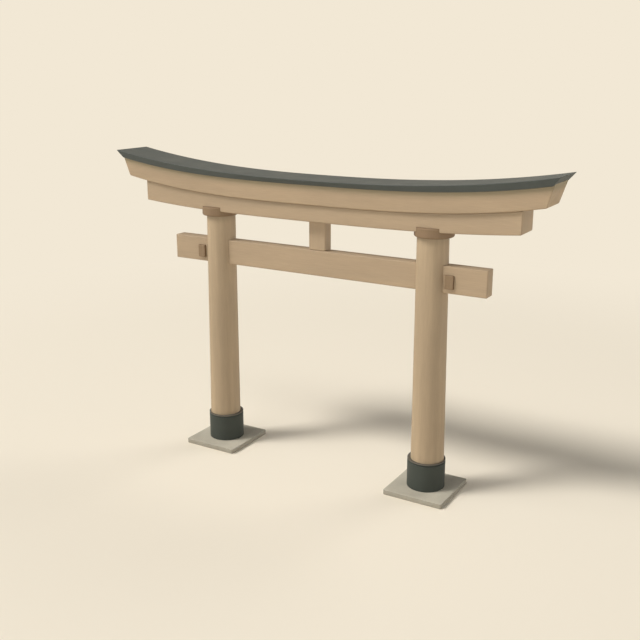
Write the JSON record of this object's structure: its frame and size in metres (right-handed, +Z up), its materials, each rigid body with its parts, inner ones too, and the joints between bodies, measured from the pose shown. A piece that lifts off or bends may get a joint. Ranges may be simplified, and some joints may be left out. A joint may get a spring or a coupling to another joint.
{
  "type": "torii gate",
  "caption": "Timber shrine gateway to walk through: round posts on flat base stones, a keyed through tie beam with a centre strut, and upswept lintels under a flared dark capping",
  "frame": {"origin": "on the ground midway between the posts, level with the undersides of the base stones", "axes": "+X along the gate, +Y through the gate, +Z up"},
  "size_m": [5.9056, 0.8, 3.8891],
  "materials": {
    "base_stone": "pale beige stone, finely dressed, matte",
    "sleeve": "dark grey-green sheet metal, satin, darker at the foot",
    "sleeve_ring": "dark weathered sheet metal, satin",
    "post_timber": "planed pale timber, upright grain, matte",
    "beam_timber": "planed pale timber, grain along the beam, matte",
    "head_ring_timber": "planed timber, a darker tone than the posts, matte",
    "key_timber": "planed darker timber, matte",
    "capping": "weathered dark grey-green sheet metal, satin"
  },
  "bodies": {
    "root": {"base_stone_left": "base_stone", "base_stone_right": "base_stone", "sleeve_left": "sleeve", "sleeve_right": "sleeve", "sleeve_ring_left": "sleeve_ring", "sleeve_ring_right": "sleeve_ring", "post_left": "post_timber", "post_right": "post_timber", "head_ring_left": "head_ring_timber", "head_ring_right": "head_ring_timber", "tie_beam": "beam_timber", "key_left": "key_timber", "key_right": "key_timber", "strut": "beam_timber", "lower_lintel": "beam_timber", "top_lintel": "beam_timber", "cap": "capping"}
  },
  "joints": []
}
